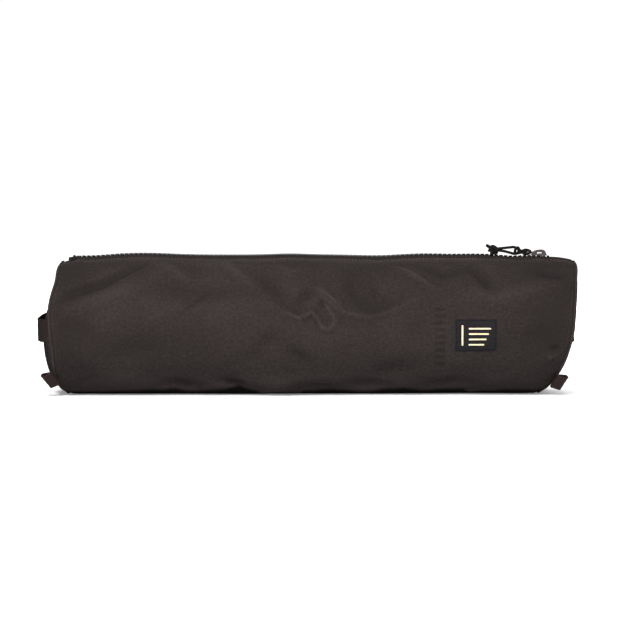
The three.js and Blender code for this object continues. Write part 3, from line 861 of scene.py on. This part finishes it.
# ---- fabric panels
def wear_and_painted_light_of(x, angle):
    """Paler at the end seams, where the cloth is rubbed; paler at the hem, from wear and a painted
    highlight; painted light low on the underside; painted highlights on fold tops and painted shade in fold
    valleys; painted shade darker at the ends.
    """
    arc = np.abs(angle) * ROUND
    face = np.where(angle < 0, -1, 1)
    proud = relief(x, arc, face) / MM
    reach = 3.5 * MM
    around = sum(relief(x + dx, arc + da, face) for dx, da in
                 ((reach, 0), (-reach, 0), (0, reach), (0, -reach))) / (4 * MM)
    # painted light and shade: the tops of folds lighter and their valleys darker
    crest = np.clip(proud - around, -1.2, 1.2)
    # the hem is paler from wear and from a painted highlight
    hem = bump(arc, HEM * ROUND + 3 * MM, 8 * MM)
    seam = bump(SEAM_X - np.abs(x), 4 * MM, 3.5 * MM)
    # painted shade: darker towards both ends
    painted_end_shade = smooth((np.abs(x) - 185 * MM) / 0.05)
    # painted light low on the underside, where the floor would throw it
    painted_underside_light = smooth((arc / ROUND - 0.66 * math.pi) / (0.14 * math.pi))
    # the proud term is painted light and shade too: raised cloth lighter, sunk cloth darker
    return (2.2 * hem + 0.4 * seam + 0.8 * painted_underside_light + 0.07 * np.clip(proud, -4, 4) + 0.55 * crest
            - 0.45 * painted_end_shade)


def set_wear_and_painted_light(piece, values):
    """The wear with its painted light and shade, and the painted shade where the cloth turns under the bag.
    """
    set_attribute(piece, "wear_and_painted_light", values)
    places = np.array([vertex.co for vertex in piece.data.vertices])
    set_attribute(piece, "painted_under_bag_shade", turned_under(places[:, 0], places[:, 2]))


def body_half(name, side, nodes):
    """The front or back half of the tube, from the zip round to the ground."""
    middle = np.linspace(-PLUMP_END, PLUMP_END, 320)
    end = PLUMP_END + (1 - PLUMP_END) * np.linspace(0, 1, 15)[1:]
    xs = SEAM_X * np.concatenate([-end[::-1], middle, end])
    share = np.concatenate([np.linspace(0, 0.05, 12)[:-1], np.linspace(0.05, 1, 124)])  # finer by the zip
    hem = HEM * smooth((lip_high.x + 2.5 * MM - np.abs(xs)) / 0.003)[:, None]
    x = xs[:, None] + 0 * share
    angle = side * (hem + (math.pi - hem) * share)
    uv = np.stack([x, np.abs(angle) * ROUND], axis=-1)
    piece = shell(name, cloth(x, angle), cloth(x, angle, -CLOTH), [cloth_material, lining_material],
                  uv)
    set_wear_and_painted_light(piece, wear_and_painted_light_of(x, angle))
    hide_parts(*nodes)
    follow_lip(piece, side, x, angle)


def end_panel(name, side):
    """A soft domed end, sewn to the tube all round. The left one is deeper, and fuller low down."""
    depth = (15.0 if side < 0 else 7.0) * MM
    around = np.linspace(-math.pi, math.pi, 181)
    rim = cloth(side * SEAM_X, around)
    centre = np.array([rim[:, 0].mean(), 0.0, AXIS_Z - (12 * MM if side < 0 else -4 * MM)])
    share = np.sin(np.linspace(0.02, 1, 34) * math.pi / 2)[:, None]
    flat = centre + share[..., None] * (rim - centre)
    bulge = depth * (1 - share**2) ** 0.6
    if side < 0:
        bulge = bulge * (0.35 + 0.65 * smooth((100 * MM - flat[..., 2]) / 0.045))
    folds = 0.9 * MM * ripple(around * 7 + 20, share * 2.2, 7)
    folds = folds * smooth((share - 0.35) / 0.4) * (1 - smooth((share - 0.95) / 0.05))
    slack = 1.1 * MM * ripple(flat[..., 1] / 0.03 + 4, flat[..., 2] / 0.022, 8) * (1 - share**4)
    lift = bulge + folds + slack
    outer = flat.copy()
    outer[..., 0] += side * lift
    outer[..., 2] = np.maximum(outer[..., 2], 0.2 * MM)
    inner = outer.copy()
    inner[..., 0] -= side * CLOTH
    piece = shell(name + "_cloth", outer, inner, [cloth_material, lining_material],
                  outer[..., 1:])
    set_wear_and_painted_light(piece, bump(share, 0.97, 0.05) * 0.5 + 0.2 * lift / depth - 0.2)
    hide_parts(name)
    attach(piece, "shell")


def seam_binding(name, side):
    """The bound seam allowance, which stands inside the bag all round the end."""
    around = np.linspace(-math.pi, math.pi, 160, endpoint=False)
    path = cloth(side * (SEAM_X - 3.4 * MM), around, -3.6 * MM)
    section = np.array([(2.6, -1.5), (3.0, 0), (2.6, 1.5), (0, 1.7), (-2.6, 1.5), (-3.0, 0), (-2.6, -1.5),
                        (0, -1.7)]) * MM
    radial = unit((path - path.mean(axis=0)) * np.array([0, 1, 1]))
    rings = path[:, None] + section[:, :1] * np.array([1, 0, 0]) + section[:, 1:] * radial[:, None]
    piece = loft(name + "_tape", rings, binding_material, closed=True)
    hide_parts(name)
    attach(piece, "shell")


def seam_bead(name, side):
    """The turned edge of the end seam, which stands up as a narrow bead."""
    around = np.linspace(-math.pi, math.pi, 300, endpoint=False)
    path = cloth(side * SEAM_X, around, 0.1 * MM)
    path[:, 2] = np.maximum(path[:, 2], 1.5 * MM)
    path[:, 0] += side * 0.5 * MM
    rings = rings_along(path, circle(1.25 * MM, 8), (1, 0, 0), closed=True)
    wobble = 1 + 0.12 * ripple(around * 11 + 30, around * 0, 9)[:, None, None]
    middle = path[:, None, :]
    piece = loft(name, middle + (rings - middle) * wobble, cloth_material, closed=True)
    set_wear_and_painted_light(piece, 0.75)
    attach(piece, "shell")


body_half("front_cloth", -1, ["body_panel", "front_lip_panel"])
body_half("back_cloth", 1, ["back_lip_panel"])
for end, side in (("left", -1), ("right", 1)):
    end_panel(f"{end}_end_panel", side)
    seam_binding(f"{end}_seam_binding", side)
    seam_bead(f"{end}_seam_bead", side)


# ---- zip
def zip_tape(name, side):
    """Woven tape from under the hem up to the corded edge that carries the teeth."""
    low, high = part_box(name)
    xs = np.linspace(low.x, high.x, 260)
    middle = [(17, -5.0), (13, -4.0), (9.5, -3.4), (8.0, -2.7), (6.9, -1.7), (5.8, -0.6), (4.6, 0.1),
              (3.9, 0.6)]
    top = [(y, z + 0.2) for y, z in middle] + [(3.2, 1.0)]
    bottom = [(2.7, 0.3), (3.2, -0.6)] + [(y, z - 0.5) for y, z in middle[::-1]]
    section = np.array(top + bottom) * MM
    rings = np.zeros((len(xs), len(section), 3))
    rings[..., 0] = xs[:, None]
    rings[..., 1] = side * section[:, 0]
    rings[..., 2] = CHAIN_Z + section[:, 1] + crest_height(xs)[:, None]
    piece = loft(name + "_woven", rings, tape_material)
    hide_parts(name)
    follow_lip(piece, side, rings[..., 0], 0)


def zip_teeth(name, side):
    """Separate moulded teeth on the corded edge, half a pitch out of step with the other row."""
    pitch = 4.7 * MM
    low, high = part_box(name)
    first = low.x + 1 * MM + (0 if side < 0 else pitch / 2)
    xs = np.arange(first, high.x - 0.6 * MM, pitch)
    # a tooth's outline from its head to its clamp on the tape: (y, half its length, half its height)
    stations = [(-1.35, 0.45, 0.5), (-1.05, 0.95, 0.8), (-0.45, 1.05, 0.9), (0.25, 0.75, 0.9),
                (1.2, 0.8, 1.1), (1.7, 0.95, 2.1), (3.2, 0.95, 2.25), (3.7, 0.8, 1.7)]
    rings = []
    bevel_x, bevel_z = 0.245, 0.35
    for y, half_x, half_z in stations:
        inner_x, inner_z = half_x - bevel_x, half_z - bevel_z
        outline = [(-half_x, -inner_z), (-inner_x, -half_z), (inner_x, -half_z), (half_x, -inner_z),
                   (half_x, inner_z), (inner_x, half_z), (-inner_x, half_z), (-half_x, inner_z)]
        rings.append([(x, side * y, z) for x, z in outline])
    tooth = np.array(rings) * MM
    rows, columns = tooth.shape[:2]
    points, faces = [], []
    for k, x in enumerate(xs):
        place = np.array([x, 0, CHAIN_Z + crest_height(x)])
        points.append(tooth.reshape(-1, 3) + place)
        faces += ring_faces(rows, columns, start=k * rows * columns)
    piece = make_piece(name + "_moulded", np.concatenate(points), faces, [tooth_material],
                       sharp=50)
    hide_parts(name)
    follow_lip(piece, side, np.repeat(xs, rows * columns), 0)


def hem_stitches(name, side, distance):
    """Topstitching along the lip. Each stitch moves as one, with the cloth at its middle."""
    xs = np.linspace(-lip_high.x + 3 * MM, lip_high.x - 3 * MM, 400)
    angle = side * (HEM + distance / ROUND)
    piece = sew(name, xs, angle, thread_material, 0.05 * MM, 2.5 * MM, 3.5 * MM, 0.27 * MM)
    x = np.array([vertex.co.x for vertex in piece.data.vertices]).reshape(-1, STITCH_POINTS)
    follow_lip(piece, side, np.repeat(x.mean(axis=1), STITCH_POINTS), angle)


def end_tab(name, side):
    """The folded tab that covers the end of the zip; the left one is flicked up at its corner."""
    low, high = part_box(name)
    inner_x = high.x if side < 0 else low.x - 1.5 * MM
    outer_x = -SEAM_X + 6 * MM if side < 0 else SEAM_X - 1 * MM
    tape_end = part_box("front_zip_tape")[1].x
    half = 10.5 * MM
    x, y = np.meshgrid(np.linspace(inner_x, outer_x, 24), np.linspace(-half, half, 19), indexing="ij")
    on_cloth = cloth(x, np.arcsin(y / HALF_W), 0.9 * MM)
    away = smooth(np.abs(x - inner_x) / abs(outer_x - inner_x))
    settled = smooth((np.abs(x) - tape_end) / (abs(outer_x) - tape_end))
    over_zip = low.z + (0.3 if side < 0 else -0.5) * MM - 2.2 * MM * (np.abs(y) / half) ** 2
    z = np.maximum(over_zip + (on_cloth[..., 2] - over_zip) * settled, on_cloth[..., 2])
    if side < 0:
        z = z + 3.6 * MM * bump(x, -234 * MM, 4 * MM) * bump(y, -half, 4 * MM)
    outer = np.stack([x + (on_cloth[..., 0] - x) * away, y, z], axis=-1)
    inner = np.stack([outer[..., 0], y, np.minimum(z - 0.9 * MM, on_cloth[..., 2] - 1.6 * MM)], axis=-1)
    uv = np.stack([x, y], axis=-1)
    piece = shell(name + "_folded", outer, inner, [webbing_material, webbing_material], uv)
    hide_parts(name)
    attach(piece, "shell")


for face, side in (("front", -1), ("back", 1)):
    zip_tape(f"{face}_zip_tape", side)
    zip_teeth(f"{face}_zip_teeth", side)
    hem_stitches(f"{face}_hem_stitches", side, 3.2 * MM)
    hem_stitches(f"{face}_tape_stitches", side, 8.5 * MM)
end_tab("left_zip_tab", -1)
end_tab("right_zip_tab", 1)


def finish_cad_node(node, material, bevel, coat=0.0):
    """A CAD part whose shape is right: its edges are eased and it gets its real finish and coating."""
    piece = frame["nodes"][node]
    piece.data.materials.clear()
    piece.data.materials.append(material)
    weld = piece.modifiers.new("weld", "WELD")
    weld.merge_threshold = 1e-5
    ease = piece.modifiers.new("ease", "BEVEL")
    ease.width = bevel
    ease.segments = 3
    ease.limit_method = "ANGLE"
    ease.angle_limit = math.radians(32)
    if coat:
        plump = piece.modifiers.new("coat", "DISPLACE")
        plump.strength = coat
        plump.mid_level = 0.0


for node, bevel, coat in (("slider_body", 0.3, 0.1), ("slider_bridge", 0.5, 0.5),
                          ("slider_lock_pawl", 0.12, 0.0), ("pull_bail", 0.4, 0.3)):
    finish_cad_node(node, metal_material, bevel * MM, coat * MM)
for node in ("zip_bottom_stop", "front_top_stop", "back_top_stop"):
    finish_cad_node(node, tooth_material, 0.3 * MM)


# ---- webbing
def handle(name, side):
    """A grab handle from the front seam to the back seam, bowed clear of the end."""
    low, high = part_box(name)
    width = high.z - low.z - 2.4 * MM
    mid_z = (low.z + high.z) / 2 + 0.3 * MM
    seam_front = cloth(side * SEAM_X, -math.pi / 2)
    reach = (270.0 if side < 0 else 261.0) * MM - WEBBING / 2
    root = abs(seam_front[0])
    rise = reach - root
    ys = np.array([-1, -0.985, -0.93, -0.8, -0.58, -0.3, 0, 0.3, 0.58, 0.8, 0.93, 0.985, 1])
    out = np.array([-0.1, 0.04, 0.2, 0.5, 0.8, 0.96, 1.0, 0.97, 0.84, 0.56, 0.24, 0.05, -0.1])
    width_y = abs(seam_front[1]) - 0.8 * MM
    path = [(side * (root + rise * o), width_y * y, mid_z + (1.2 * y + 1.6 * abs(y) ** 1.5) * MM)
            for y, o in zip(ys, out)]
    rings = rings_along(through(path, 70), strap_section(width, WEBBING, 14))
    piece = loft(name + "_webbing", rings, webbing_material)
    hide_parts(name)
    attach(piece, "shell")


def lash_loop(name, side):
    """Folded webbing that springs from the end seam, low on the front."""
    joint = joints[name.replace("lash_loop", "loop_flex")]
    root = np.array(joint["pos_m"])
    downwards = np.array(joint["axis"])
    if side < 0:  # this one stands a little higher, clear of the cloth, and leans outwards
        clear = np.array([0, root[1], root[2] - AXIS_Z]) / ROUND
        root = root + np.array([-1.0, 0, 4.8]) * MM + clear * 1.9 * MM
        downwards = unit(downwards + np.array([0.28, 0, 0]))
    outward = np.array([side, 0.0, 0.0])
    outward = unit(outward - downwards * (outward @ downwards))
    radial = np.cross(downwards, outward)
    inside, reach = 1.5 * MM, (10 if side < 0 else 9) * MM
    shape = [(-inside, -0.8), (0, -0.9), (0.45 * reach, -1.5), (0.86 * reach, -1.8), (reach, 0),
             (0.86 * reach, 1.8), (0.45 * reach, 1.5), (0, 0.9), (-inside, 0.8)]
    path = through([root + outward * u + radial * v * MM for u, v in shape], 44)
    rings = rings_along(path, strap_section(20 * MM, 1.3 * MM, 12), downwards)
    piece = loft(name + "_webbing", rings, loop_material)
    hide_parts(name)
    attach(piece, name.replace("lash_loop", "loop"))


for end, side in (("left", -1), ("right", 1)):
    handle(f"{end}_handle", side)
    lash_loop(f"{end}_lash_loop", side)


# ---- label and tonal print
def angle_at(z):
    """The angle round the bag, on its front, at a height."""
    return -math.acos((z - AXIS_Z) / HALF_H)


def patch(name, x0, x1, z0, z1, lift, thick, material, corner=0.0, steps=(24, 20)):
    """A thin closed patch that follows the front of the bag, lift above it, narrowing to its corners."""
    u, v = np.meshgrid(np.linspace(-1, 1, steps[0]), np.linspace(-1, 1, steps[1]), indexing="ij")
    top, bottom = angle_at(z1), angle_at(z0)
    squeeze = 1 - corner * np.abs(v) ** 8
    x = (x0 + x1) / 2 + (x1 - x0) / 2 * u * squeeze
    angle = (top + bottom) / 2 + (top - bottom) / 2 * v
    edge = 1 - 0.8 * np.maximum(np.abs(u), np.abs(v)) ** 14
    outer = cloth(x, angle, lift + thick * edge)
    inner = cloth(x, angle, lift - 0.35 * MM)
    uv = np.stack([x, angle * ROUND], axis=-1)
    piece = shell(name, outer, inner, [material, material], uv)
    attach(piece, "shell")
    return piece


def label():
    """A woven label, sewn on all round, with a plain motif: an upright post and four level bars."""
    x0, x1 = label_low.x, label_high.x
    z0, z1 = label_low.z + 3.6 * MM, label_high.z + 2 * MM
    ground = patch("label_ground", x0, x1, z0, z1, 0.1 * MM, 0.55 * MM, label_material)
    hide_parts("label_patch")
    lift, thick = 0.62 * MM, 0.28 * MM
    column = x0 + 6.5 * MM
    patch("label_post", column, column + 1.65 * MM, z0 + 6 * MM, z1 - 6 * MM, lift, thick,
          motif_material, 0.2, (6, 14))
    bars = 4
    for k in range(bars):
        foot = z0 + 6 * MM + k * 5.1 * MM
        right = x1 - (6 + 2.2 * (bars - 1 - k)) * MM
        patch(f"label_bar_{k + 1}", x0 + 13.5 * MM, right, foot, foot + 1.45 * MM, lift, thick,
              motif_material, 0.04, (14, 7))
    inset = 1.5 * MM
    left, right, foot, head = x0 + inset, x1 - inset, z0 + inset, z1 - inset
    sides = np.concatenate([np.linspace(k, k + 1, 20) for k in range(4)])
    xs = np.interp(sides, range(5), [left, right, right, left, left])
    angles = np.interp(sides, range(5), [angle_at(z) for z in (foot, foot, head, head, foot)])
    stitches = sew("label_stitches", xs, angles, cord_material,
                   0.62 * MM, 1.8 * MM, 2.5 * MM, 0.22 * MM)
    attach(stitches, "shell")


def tonal_print():
    """A column of plain dashes, one shade darker than the cloth."""
    for k in range(9):
        foot = 33 * MM + k * 6.6 * MM
        patch(f"print_dash_{k + 1}", 120.5 * MM, 131 * MM, foot, foot + 3.6 * MM, 0.02 * MM, 0.06 * MM,
              print_material, 0.12, (14, 8))


def end_seam_stitches(name, side):
    """Topstitching on the tube, just inside the end seam."""
    around = np.linspace(-math.pi, math.pi, 420)
    piece = sew(name, side * (SEAM_X - 5.5 * MM), around, thread_material,
                0.05 * MM, 2.6 * MM, 3.8 * MM, 0.25 * MM)
    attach(piece, "shell")


label()
tonal_print()
end_seam_stitches("left_seam_stitches", -1)
end_seam_stitches("right_seam_stitches", 1)
